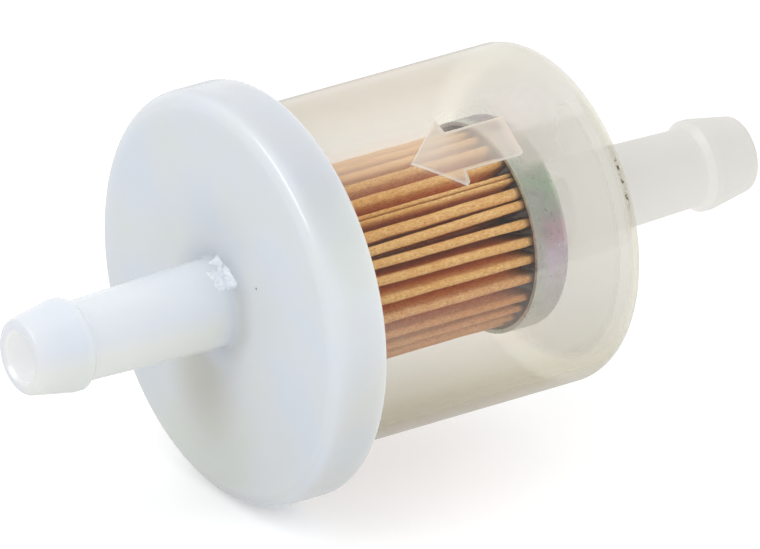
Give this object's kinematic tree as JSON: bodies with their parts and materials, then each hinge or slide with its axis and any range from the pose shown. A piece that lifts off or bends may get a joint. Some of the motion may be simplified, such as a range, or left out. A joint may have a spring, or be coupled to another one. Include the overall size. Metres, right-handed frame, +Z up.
{
  "type": "inline fuel filter",
  "caption": "Round in-line fuel filter: clear bowl with a raised flow arrow, white end cap, barbed hose nipple at each end, and a pleated paper element held between plated steel cups.",
  "frame": {"origin": "on the flow axis, half way between the two nipple tips", "axes": "X is the flow axis: +X points from the outlet (white cap, low X) to the inlet (clear bowl, high X), so fuel and the raised arrow run towards -X; +Z is up, with the arrow on the upper -Y side; Y completes the right-handed frame"},
  "size_m": [0.073, 0.036, 0.036],
  "materials": {
    "cap_plastic": "moulded white translucent plastic, satin",
    "bowl_plastic": "moulded clear plastic, slightly hazy and warm, glossy",
    "filter_paper": "resin-treated pleated filter paper, matte",
    "adhesive": "cured plastisol, dark grey",
    "plated_steel": "drawn sheet steel, iridescent yellow-green and pink passivated zinc",
    "core_steel": "perforated sheet steel, bright",
    "seal_rubber": "moulded black nitrile, matte"
  },
  "bodies": {
    "root": {"outlet_cap": "cap_plastic", "inlet_bowl": "bowl_plastic", "filter_paper": "filter_paper", "seam_adhesive": "adhesive", "core_tube": "core_steel", "closed_end_cup": "plated_steel", "closed_end_potting": "adhesive", "open_end_cup": "plated_steel", "open_end_potting": "adhesive", "spigot_seal": "seal_rubber"}
  },
  "joints": []
}
